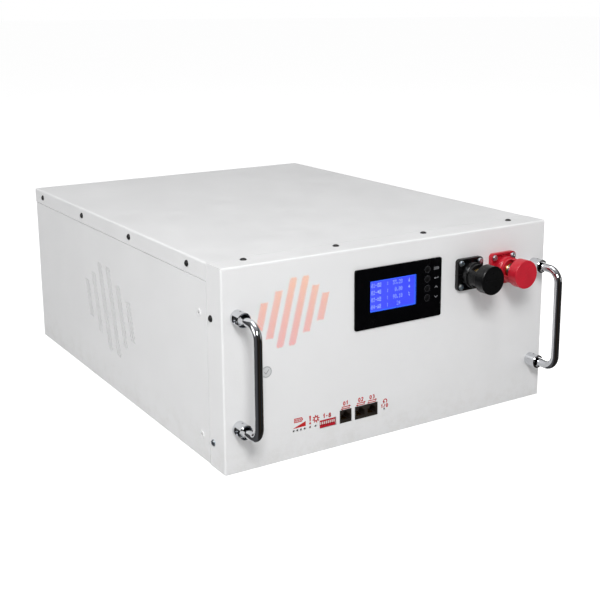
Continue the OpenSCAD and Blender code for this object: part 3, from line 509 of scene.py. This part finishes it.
TABLE = {
    "powder": ["chassis_tray", "top_cover", "front_panel", "rack_ear_inserts"],
    "black_steel": ["cover_screws", "panel_top_screws", "panel_upper_side_screws"],
    "zinc": ["panel_lower_side_screws", "handle_post_screws", "terminal_flange_screws", "terminal_stud_nuts", "pack_tie_rods"],
    "screen_front": ["front_vent_screen"],
    "screen_side": ["side_vent_screens"],
    "chrome": ["handle_posts", "handle_pins", "left_handle_bar", "right_handle_bar"],
    "black_nylon": ["negative_terminal_base", "negative_terminal_sleeve", "negative_terminal_cap"],
    "red_nylon": ["positive_terminal_base", "positive_terminal_sleeve", "positive_terminal_cap"],
    "brass": ["negative_terminal_stud", "positive_terminal_stud"],
    "film": ["display_bezel"],
    "pane": ["display_window"],
    "backlight": ["display_module"],
    "board": ["display_board", "interface_board", "bms_board"],
    "key": ["display_key_1", "display_key_2", "display_key_3", "display_key_4"],
    "lamp": ["charge_and_run_lamps"],
    "alarm": ["alarm_lamp"],
    "dip": ["address_switch_body"],
    "slider": ["address_slider_%d" % i for i in range(1, 9)],
    "socket": ["single_network_socket", "double_network_socket"],
    "gold": ["socket_contacts"],
    "plastic": ["reset_switch_body", "reset_key"],
    "wrap": ["battery_cells"],
    "copper": ["cell_busbars"],
    "aluminium": ["pack_end_plates", "bms_heat_sink"],
    "foam": ["pack_floor_pad"],
    "red_cable": ["positive_cable"],
    "black_cable": ["negative_cable"],
}
for key, names in TABLE.items():
    for n in names:
        o = NODE[n]
        o.data.materials.clear()
        o.data.materials.append(M[key])
missing = sorted(set(NODE) - set(n for v in TABLE.values() for n in v))
assert not missing, missing


# ------------------------------------------------------------------ mesh kit
def obj_from(name, verts, faces, mat, body, smooth=None):
    me = bpy.data.meshes.new(name)
    me.from_pydata([tuple(v) for v in verts], [], faces)
    me.validate()
    me.update()
    o = bpy.data.objects.new(name, me)
    bpy.context.scene.collection.objects.link(o)
    me.materials.append(M[mat])
    if smooth is not None:
        bm = bmesh.new()
        bm.from_mesh(me)
        bmesh.ops.recalc_face_normals(bm, faces=bm.faces)
        for f in bm.faces:
            f.smooth = True
        for e in bm.edges:
            if len(e.link_faces) == 2 and e.calc_face_angle(0) > math.radians(smooth):
                e.smooth = False
        bm.to_mesh(me)
        bm.free()
    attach(o, body)
    return o


class Sheet:
    """Collects flat printed shapes on the front panel, in millimetres (x, z), and makes one thin solid mesh of them."""

    def __init__(self, lift, thick=0.05):
        self.v, self.f, self.lift, self.t = [], [], lift, thick

    def poly(self, pts):
        """Convex or simple outline, anticlockwise when seen from the front."""
        n, k = len(pts), len(self.v)
        self.v += [(x, self.lift + self.t, z) for x, z in pts] + [(x, self.lift, z) for x, z in pts]
        self.f.append([k + i for i in range(n)])
        self.f.append([k + n + i for i in reversed(range(n))])
        for i in range(n):
            j = (i + 1) % n
            self.f.append([k + j, k + i, k + n + i, k + n + j])

    def rect(self, x0, z0, x1, z1):
        self.poly([(x0, z0), (x1, z0), (x1, z1), (x0, z1)])

    def line(self, pts, w, closed=False):
        """A stroke of width w along the points, with mitred joints."""
        n = len(pts)
        out, inn = [], []
        for i in range(n):
            p = Vector(pts[i])
            a = Vector(pts[i - 1]) if (i > 0 or closed) else None
            b = Vector(pts[(i + 1) % n]) if (i < n - 1 or closed) else None
            d1 = (p - a).normalized() if a is not None else (b - p).normalized()
            d2 = (b - p).normalized() if b is not None else d1
            nrm = Vector((-(d1.y + d2.y), d1.x + d2.x))
            nrm = nrm.normalized() if nrm.length > 1e-6 else Vector((-d1.y, d1.x))
            c = max(0.35, nrm.dot(Vector((-d1.y, d1.x))))
            off = nrm * (w / 2 / c)
            out.append(p + off)
            inn.append(p - off)
        m = n if closed else n - 1
        for i in range(m):
            j = (i + 1) % n
            self.poly([tuple(inn[i]), tuple(inn[j]), tuple(out[j]), tuple(out[i])])

    def arc(self, cx, cz, r, a0, a1, w, n=20):
        pts = [(cx + r * math.cos(math.radians(a0 + (a1 - a0) * i / n)),
                cz + r * math.sin(math.radians(a0 + (a1 - a0) * i / n))) for i in range(n + 1)]
        if abs(a1 - a0) >= 359.9:
            self.line(pts[:-1], w, True)
        else:
            self.line(pts, w)

    def disc(self, cx, cz, r, n=28):
        self.poly([(cx + r * math.cos(TAU * i / n), cz + r * math.sin(TAU * i / n)) for i in range(n)])

    def digits(self, s, x, z, h, w, gap=0.28):
        """Plain stroked numerals, left edge x, baseline z, height h, stroke w."""
        for ch in s:
            for st in STROKES[ch]:
                self.line([(x + px * h * 0.55, z + pz * h) for px, pz in st], w)
            x += h * 0.55 * (WIDTHS.get(ch, 1.0)) + gap * h
        return x

    def make(self, name, mat, body="case"):
        verts = [(x * MM, FRONT - y * MM, z * MM) for x, y, z in self.v]
        return obj_from(name, verts, self.f, mat, body)


def ring_pts(cx, cz, rx, rz, a0, a1, n):
    return [(cx + rx * math.cos(math.radians(a0 + (a1 - a0) * i / n)), cz + rz * math.sin(math.radians(a0 + (a1 - a0) * i / n))) for i in range(n + 1)]


STROKES = {
    "0": [ring_pts(0.5, 0.5, 0.5, 0.5, 90, 450, 18)],
    "1": [[(0.15, 0.78), (0.5, 1.0), (0.5, 0.0)]],
    "2": [ring_pts(0.5, 0.72, 0.46, 0.28, 170, -35, 10) + [(0.04, 0.0), (1.0, 0.0)]],
    "3": [ring_pts(0.48, 0.76, 0.42, 0.24, 150, -90, 9), ring_pts(0.48, 0.27, 0.48, 0.27, 90, -150, 10)],
    "4": [[(0.72, 0.0), (0.72, 1.0), (0.0, 0.3), (1.0, 0.3)]],
    "5": [[(0.92, 1.0), (0.16, 1.0), (0.1, 0.56)] + ring_pts(0.48, 0.32, 0.5, 0.32, 110, -150, 10)],
    "6": [[(0.78, 1.0), (0.22, 0.62)] + ring_pts(0.5, 0.32, 0.46, 0.32, 150, -210, 16)],
    "7": [[(0.0, 1.0), (0.98, 1.0), (0.38, 0.0)]],
    "8": [ring_pts(0.5, 0.75, 0.38, 0.25, 90, 450, 14), ring_pts(0.5, 0.26, 0.48, 0.26, 90, 450, 14)],
    "9": [ring_pts(0.5, 0.68, 0.46, 0.32, -30, 330, 16) + [(0.78, 0.38), (0.3, 0.0)]],
    "-": [[(0.1, 0.5), (0.9, 0.5)]],
    "+": [[(0.1, 0.5), (0.9, 0.5)], [(0.5, 0.12), (0.5, 0.88)]],
    "/": [[(0.1, 0.0), (0.9, 1.0)]],
}
WIDTHS = {"1": 0.75}

# ------------------------------------------------------------------ printed marks on the front
red = Sheet(-0.01)
LAMP_Z = 30.8
# rising wedge over the charge lamps, with a small battery outline above it
red.poly([(-139.0, 33.6), (-122.2, 33.8), (-122.2, 39.4)])
red.line([(-136.4, 40.3), (-127.2, 40.3), (-127.2, 44.3), (-136.4, 44.3)], 1.0, True)
red.rect(-126.8, 41.3, -125.7, 43.3)
for k in range(3):
    red.rect(-135.4 + k * 2.6, 41.2, -133.7 + k * 2.6, 43.4)
# alarm mark: bar and dot
red.poly([(-117.2, 37.6), (-116.0, 37.6), (-115.4, 44.0), (-117.8, 44.0)])
red.disc(-116.6, 35.3, 1.25, 16)
# running mark: small gear
red.arc(-109.0, 38.9, 2.35, 0, 360, 1.3, 24)
for k in range(8):
    a = TAU * k / 8 + 0.2
    c, s = math.cos(a), math.sin(a)
    red.line([(-109.0 + 2.7 * c, 38.9 + 2.7 * s), (-109.0 + 4.5 * c, 38.9 + 4.5 * s)], 1.35)
# address switch: numbering
red.digits("1-8", -99.6, 37.4, 4.3, 1.25, 0.36)


def ports_mark(x, z, number):
    """Port number over a two-way arrow."""
    red.digits(number, x - 3.1, z + 4.9, 3.9, 1.2, 0.46)
    for s, zz in ((1, z + 2.9), (-1, z + 0.7)):
        red.line([(x - 5.4, zz), (x + 5.4, zz)], 1.05)
        red.poly([(x + s * 4.2, zz - 1.35), (x + s * 6.9, zz), (x + s * 4.2, zz + 1.35)][::s])


ports_mark(-70.0, 41.9, "01")
ports_mark(-49.8, 41.9, "02")
ports_mark(-34.4, 41.9, "03")
# reset: turning arrow over on and off numerals
red.arc(-16.2, 39.9, 2.3, -60, 215, 1.2, 20)
red.poly([(-19.6, 40.2), (-18.1, 36.6), (-16.3, 39.5)][::-1])
red.digits("1/0", -21.6, 32.6, 3.7, 1.15, 0.46)
red.make("printed_marks_red", "ink_red")

# ------------------------------------------------------------------ display overlay print
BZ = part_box("display_bezel")
KEYS = [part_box("display_key_%d" % i) for i in range(1, 5)]
face = (FRONT - BZ[0].y) / MM               # bezel face above the panel
white = Sheet(face - 0.01, 0.04)
dim = Sheet(face - 0.01, 0.03)
for k, (lo, hi) in enumerate(KEYS):
    zc = (lo.z + hi.z) / 2 / MM
    xc = (lo.x + hi.x) / 2 / MM + 12.6
    if k == 0:
        for j in (-1.15, 0, 1.15):
            white.line([(xc - 3.6, zc + j), (xc + 3.6, zc + j)], 0.42)
    elif k == 1:
        white.line([(xc + 2.6, zc + 1.2), (xc + 2.6, zc - 0.4), (xc - 1.4, zc - 0.4)], 0.5)
        white.poly([(xc - 3.0, zc - 0.4), (xc - 1.2, zc - 1.5), (xc - 1.2, zc + 0.7)])
    elif k == 2:
        white.line([(xc - 2.2, zc - 0.8), (xc, zc + 1.0), (xc + 2.2, zc - 0.8)], 0.55)
    else:
        white.line([(xc - 2.2, zc + 0.8), (xc, zc - 1.0), (xc + 2.2, zc + 0.8)], 0.55)
    dim.line(ring_pts((lo.x + hi.x) / 2 / MM, zc, 3.95, 3.95, 0, 360, 32)[:-1], 0.24, True)
dim.make("overlay_key_rings", "ink_dim")
white.make("overlay_marks_white", "ink_white")

# ------------------------------------------------------------------ display content: dot-matrix numerals
DOTS = {
    "0": "01110 10001 10011 10101 11001 10001 01110", "1": "00100 01100 00100 00100 00100 00100 01110",
    "2": "01110 10001 00001 00010 00100 01000 11111", "3": "11111 00010 00100 00010 00001 10001 01110",
    "4": "00010 00110 01010 10010 11111 00010 00010", "5": "11111 10000 11110 00001 00001 10001 01110",
    "6": "00110 01000 10000 11110 10001 10001 01110", "7": "11111 00001 00010 00100 01000 01000 01000",
    "8": "01110 10001 10001 01110 10001 10001 01110", "9": "01110 10001 10001 01111 00001 00010 01100",
    ".": "00000 00000 00000 00000 00000 01100 01100", ":": "00000 01100 01100 00000 01100 01100 00000",
    "%": "11000 11001 00010 00100 01000 10011 00011", "-": "00000 00000 00000 11111 00000 00000 00000",
    "b": "01110 11111 10001 10101 10101 10001 11111", "r": "00100 00110 11111 11111 00110 00100 00000",
    "l": "00100 01100 11111 01100 00100 11111 00000", "t": "00100 01010 01010 01010 11111 11111 01110",
    "_": "00000 00000 00000 00000 00000 00000 11111", "#": "11111 10001 10111 10001 11101 10001 11111",
    " ": "00000 00000 00000 00000 00000 00000 00000",
}
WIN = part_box("display_window")
MOD_Y = WIN[1].y                            # back of the window; the lit panel is just behind it
lcd = Sheet((FRONT - MOD_Y) / MM - 0.075, 0.05)
w0, w1 = WIN[0].x / MM, WIN[1].x / MM
h0, h1 = WIN[0].z / MM, WIN[1].z / MM
dx, dz, pitch = 0.45, 0.66, 2.72
chh = (h1 - h0 - 2.6) / 4
ROWS = [("01-b#", "53.28", "t"), ("02-r#", " 0.00", "r"), ("03-l#", "98.10", "%"), ("04-t#", "  24 ", "")]


def lcd_word(word, x0, z0):
    for c, ch in enumerate(word):
        for j, rowbits in enumerate(DOTS[ch].split()):
            for i, b in enumerate(rowbits):
                if b == "1":
                    x = x0 + c * pitch + i * dx
                    z = z0 - j * dz
                    lcd.rect(x, z - dz * 0.82, x + dx * 0.82, z)


for r, (label, value, unit) in enumerate(ROWS):
    zt = h1 - 3.1 - r * chh
    wide = w1 - w0
    lcd_word(label, w0 + 0.035 * wide, zt)
    lcd_word(":", w0 + 0.37 * wide, zt)
    lcd_word(value, w0 + 0.50 * wide, zt)
    lcd_word(unit, w0 + 0.84 * wide, zt)
lcd.make("display_characters", "lcd_lit")

# ------------------------------------------------------------------ round sticker
st = Sheet(-0.01, 0.12)
st.disc(-170, 104.3, 6.5, 48)
st.make("round_sticker", "sticker")
rg = Sheet(0.10, 0.03)
rg.arc(-170, 104.3, 5.6, 0, 360, 0.55, 48)
rg.line([(-172.6, 104.4), (-170.6, 102.2), (-167.2, 106.6)], 0.75)
rg.make("round_sticker_ring", "ink_grey")


# ------------------------------------------------------------------ foil behind the front vent
def vent_spots(cx, cz, w, h, d):
    """Centres of the vent's holes, bar by bar, as the sheet is punched."""
    px = d * 1.89
    pz = px / 2
    gap = (w - h * 0.25 - 2 * px) / 5
    out = []
    for b, rise in enumerate((0.42, 0.7, 1, 1, 0.7, 0.42)):
        n = int(math.floor(h * rise / pz / 2 + 1e-9))
        for k in range(-n, n + 1):
            odd = abs(k) % 2
            for c in (-1, 0, 1):
                if odd and c == 1:
                    continue
                z = k * pz
                out.append((cx + (b - 2.5) * gap + c * px + odd * px / 2 + z * 0.25, cz + z))
    return out


def vent_foil():
    """Pressed foil: a thin backing with a low round boss standing in every hole."""
    lo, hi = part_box("front_vent_screen")
    verts, faces = [], []
    y0, y1 = lo.y, hi.y
    nx, nz = 28, 20
    for y in (y0, y1):
        for j in range(nz + 1):
            for i in range(nx + 1):
                verts.append((lo.x + (hi.x - lo.x) * i / nx, y, lo.z + (hi.z - lo.z) * j / nz))
    m = (nx + 1) * (nz + 1)
    for j in range(nz):
        for i in range(nx):
            a = j * (nx + 1) + i
            faces.append([a, a + 1, a + nx + 2, a + nx + 1])
            faces.append([m + a, m + a + nx + 1, m + a + nx + 2, m + a + 1])
    rim = [i for i in range(nx)] + [nx + j * (nx + 1) for j in range(nz)] + [m - 1 - i for i in range(nx)] + [(nz - j) * (nx + 1) for j in range(nz)]
    for k in range(len(rim)):
        a, b = rim[k], rim[(k + 1) % len(rim)]
        faces.append([b, a, m + a, m + b])
    crown = FRONT + 0.00014
    for x, z in vent_spots(-137, 164.5, 100, 72, 1.8):
        base = len(verts)
        r0, lift = 0.885, rng.uniform(-0.00004, 0.00004)
        for rr, y in ((r0, y0 + 0.0001), (r0, crown + 0.0001 + lift), (r0 * 0.86, crown + lift)):
            for i in range(12):
                a = TAU * i / 12
                verts.append(((x + rr * math.cos(a)) * MM, y, (z + rr * math.sin(a)) * MM))
        for q in range(2):
            for i in range(12):
                j = (i + 1) % 12
                faces.append([base + q * 12 + i, base + q * 12 + j, base + (q + 1) * 12 + j, base + (q + 1) * 12 + i])
        faces.append([base + 24 + i for i in range(12)])
        faces.append([base + i for i in reversed(range(12))])
    o = obj_from("front_vent_foil", verts, faces, "screen_front", "case", smooth=35)
    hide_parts("front_vent_screen")


vent_foil()

# ------------------------------------------------------------------ threaded studs
def stud(name, node, body):
    """Threaded rod with its collar, built as one revolved mesh with a real helical ridge."""
    lo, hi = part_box(node)
    cx, cz = (lo.x + hi.x) / 2, (lo.z + hi.z) / 2
    out = FRONT - lo.y
    inn = FRONT - hi.y
    r, depth, pitch = 4.0, 0.62, 1.25
    n, step = 48, 0.21
    verts, faces = [], []
    count = int((out - inn) / MM / step)
    seat0, seat1 = 17.0, 19.5
    prof = []
    for k in range(count + 1):
        t = inn / MM + k * (out - inn) / MM / count
        prof.append(t)
    for k, t in enumerate(prof):
        end = min((out / MM - t), (t - inn / MM))
        for i in range(n):
            a = TAU * i / n
            ph = (t / pitch - i / n) % 1.0
            tri = abs(2 * ph - 1)
            rr = r - depth * min(1, max(0, (tri - 0.12) / 0.76))
            rr = min(rr, r - 0.9 + end * 1.0)
            if -12 < t < 5:
                rr = min(rr, r)
            verts.append((cx + rr * MM * math.cos(a), FRONT - t * MM, cz + rr * MM * math.sin(a)))
    for k in range(count):
        for i in range(n):
            j = (i + 1) % n
            faces.append([k * n + i, k * n + j, (k + 1) * n + j, (k + 1) * n + i])
    faces.append([i for i in reversed(range(n))])
    faces.append([count * n + i for i in range(n)])
    # collar under the washer, turned with small chamfers
    ring = [(3.2, seat0), (8.6, seat0), (9.0, seat0 + 0.4), (9.0, seat1 - 0.4), (8.6, seat1), (3.2, seat1)]
    base = len(verts)
    for rr, t in ring:
        for i in range(64):
            a = TAU * i / 64
            verts.append((cx + rr * MM * math.cos(a), FRONT - t * MM, cz + rr * MM * math.sin(a)))
    for k in range(len(ring) - 1):
        for i in range(64):
            j = (i + 1) % 64
            faces.append([base + k * 64 + i, base + k * 64 + j, base + (k + 1) * 64 + j, base + (k + 1) * 64 + i])
    o = obj_from(name, verts, faces, "brass", body, smooth=25)
    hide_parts(node)
    return o


stud("negative_stud_threaded", "negative_terminal_stud", "case")
stud("positive_stud_threaded", "positive_terminal_stud", "case")


# ------------------------------------------------------------------ edge rounding helper for carried-over nodes (not called)
def soften(names, width, seg=2, angle=35):
    for n in names:
        o = NODE[n]
        b = o.modifiers.new("edge_round", "BEVEL")
        b.width = width
        b.segments = seg
        b.limit_method = "ANGLE"
        b.angle_limit = math.radians(angle)
        b.use_clamp_overlap = True
        b.harden_normals = False


# ------------------------------------------------------------------ studio
def area(name, loc, target, size, power, colour=(1, 1, 1), size_y=None):
    d = bpy.data.lights.new(name, "AREA")
    d.shape = "RECTANGLE"
    d.size = size
    d.size_y = size_y or size
    d.energy = power
    d.color = colour
    o = bpy.data.objects.new(name, d)
    o.location = loc
    direction = Vector(target) - Vector(loc)
    o.rotation_euler = direction.to_track_quat("-Z", "Y").to_euler()
    bpy.context.scene.collection.objects.link(o)
    return o


def floor():
    me = bpy.data.meshes.new("floor")
    bm = bmesh.new()
    n, rings = 96, [0.0, 0.6, 1.4, 3.0, 7.0, 16.0, 40.0]
    rows = []
    for r in rings:
        rows.append([bm.verts.new((r * math.cos(TAU * i / n), r * math.sin(TAU * i / n), 0)) for i in range(n)] if r else [bm.verts.new((0, 0, 0))])
    for k in range(len(rings) - 1):
        for i in range(n):
            j = (i + 1) % n
            if k == 0:
                bm.faces.new((rows[0][0], rows[1][i], rows[1][j]))
            else:
                bm.faces.new((rows[k][i], rows[k + 1][i], rows[k + 1][j], rows[k][j]))
    bm.to_mesh(me)
    bm.free()
    o = bpy.data.objects.new("floor", me)
    o.location.z = -0.0002
    bpy.context.scene.collection.objects.link(o)
    m = Mat("studio_floor", (0.60, 0.60, 0.60), 0.6, Specular_IOR_Level=0.2)
    m.colour(m.mix(m.ramp(m.noise(1.3, 3), 0.3, 0.7), (0.60, 0.60, 0.60), (0.59, 0.59, 0.59)))
    m.set("Emission Color", (1, 1, 1, 1))
    lp = m.node("ShaderNodeLightPath")
    m.wire(m.math("MULTIPLY", lp.outputs["Is Camera Ray"], 0.80), m.sh.inputs["Emission Strength"])
    me.materials.append(m.m)
    o.visible_glossy = False
    return o


floor()


def world():
    """White to the camera, soft grey for lighting, and a dark studio with a pale ceiling for gloss."""
    w = bpy.data.worlds.new("studio")
    w.use_nodes = True
    t = w.node_tree
    out = [x for x in t.nodes if x.type == "OUTPUT_WORLD"][0]
    fill = [x for x in t.nodes if x.type == "BACKGROUND"][0]
    fill.inputs["Color"].default_value = (1, 1, 1, 1)
    fill.inputs["Strength"].default_value = 0.33
    seen = t.nodes.new("ShaderNodeBackground")
    seen.inputs["Color"].default_value = (1, 1, 1, 1)
    seen.inputs["Strength"].default_value = 1.0
    gloss = t.nodes.new("ShaderNodeBackground")
    gloss.inputs["Strength"].default_value = 1.0
    tc = t.nodes.new("ShaderNodeTexCoord")
    sep = t.nodes.new("ShaderNodeSeparateXYZ")
    t.links.new(tc.outputs["Generated"], sep.inputs[0])
    rmp = t.nodes.new("ShaderNodeValToRGB")
    e = rmp.color_ramp.elements
    e[0].position, e[0].color = 0.45, (0.0, 0.0, 0.0, 1)
    e[1].position, e[1].color = 1.0, (0.42, 0.42, 0.44, 1)
    for at, v in ((0.60, 0.012), (0.78, 0.05), (0.89, 0.16)):
        k = rmp.color_ramp.elements.new(at)
        k.color = (v, v, v * 1.03, 1)
    mp = t.nodes.new("ShaderNodeMapRange")
    mp.inputs["From Min"].default_value = -1
    mp.inputs["From Max"].default_value = 1
    t.links.new(sep.outputs[2], mp.inputs["Value"])
    t.links.new(mp.outputs["Result"], rmp.inputs[0])
    # dark room with a few pale uprights, so that bright metal shows fine lines
    az = t.nodes.new("ShaderNodeMath")
    az.operation = "ARCTAN2"
    t.links.new(sep.outputs[1], az.inputs[0])
    t.links.new(sep.outputs[0], az.inputs[1])
    am = t.nodes.new("ShaderNodeMapRange")
    am.inputs["From Min"].default_value = -math.pi
    am.inputs["From Max"].default_value = math.pi
    t.links.new(az.outputs[0], am.inputs["Value"])
    room = t.nodes.new("ShaderNodeValToRGB")
    re = room.color_ramp.elements
    re[0].position, re[0].color = 0.0, (0.10, 0.10, 0.105, 1)
    re[1].position, re[1].color = 1.0, (0.10, 0.10, 0.105, 1)
    for deg, c in ((-150, (0.05, 0.05, 0.055)), (-136, (0.012, 0.010, 0.008)), (-108, (0.014, 0.012, 0.010)), (-100, (0.060, 0.045, 0.032)),
                   (-92, (0.012, 0.010, 0.008)), (-66, (0.014, 0.013, 0.012)), (-58, (0.050, 0.060, 0.080)), (-50, (0.014, 0.012, 0.010)),
                   (-30, (0.016, 0.014, 0.012)), (-16, (0.075, 0.060, 0.045)), (-6, (0.02, 0.018, 0.016)), (60, (0.05, 0.05, 0.052))):
        k = re.new((deg + 180) / 360)
        k.color = (*c, 1)
    t.links.new(am.outputs["Result"], room.inputs[0])
    both = t.nodes.new("ShaderNodeMix")
    both.data_type = "RGBA"
    both.blend_type = "ADD"
    both.inputs[0].default_value = 1.0
    ins = [i for i in both.inputs if i.enabled]
    t.links.new(rmp.outputs[0], ins[1])
    t.links.new(room.outputs[0], ins[2])
    t.links.new([o for o in both.outputs if o.enabled][0], gloss.inputs["Color"])
    lp = t.nodes.new("ShaderNodeLightPath")
    m1 = t.nodes.new("ShaderNodeMixShader")
    m2 = t.nodes.new("ShaderNodeMixShader")
    t.links.new(lp.outputs["Is Glossy Ray"], m1.inputs[0])
    t.links.new(fill.outputs[0], m1.inputs[1])
    t.links.new(gloss.outputs[0], m1.inputs[2])
    t.links.new(lp.outputs["Is Camera Ray"], m2.inputs[0])
    t.links.new(m1.outputs[0], m2.inputs[1])
    t.links.new(seen.outputs[0], m2.inputs[2])
    t.links.new(m2.outputs[0], out.inputs["Surface"])
    bpy.context.scene.world = w


world()
area("key_front", (-0.72, -1.50, 1.24), (-0.05, -0.27, 0.1), 0.50, 19.5)
area("top_soft", (0.1, 0.3, 2.4), (0, 0, 0.1), 1.8, 20)
area("side_left", (-2.3, 0.2, 0.9), (0, 0, 0.1), 1.3, 16)
area("strip_right", (1.9, -1.5, 0.8), (0, 0, 0.1), 0.35, 3, size_y=1.6)

bpy.context.scene.view_settings.view_transform = "Standard"
bpy.context.scene.view_settings.look = "None"
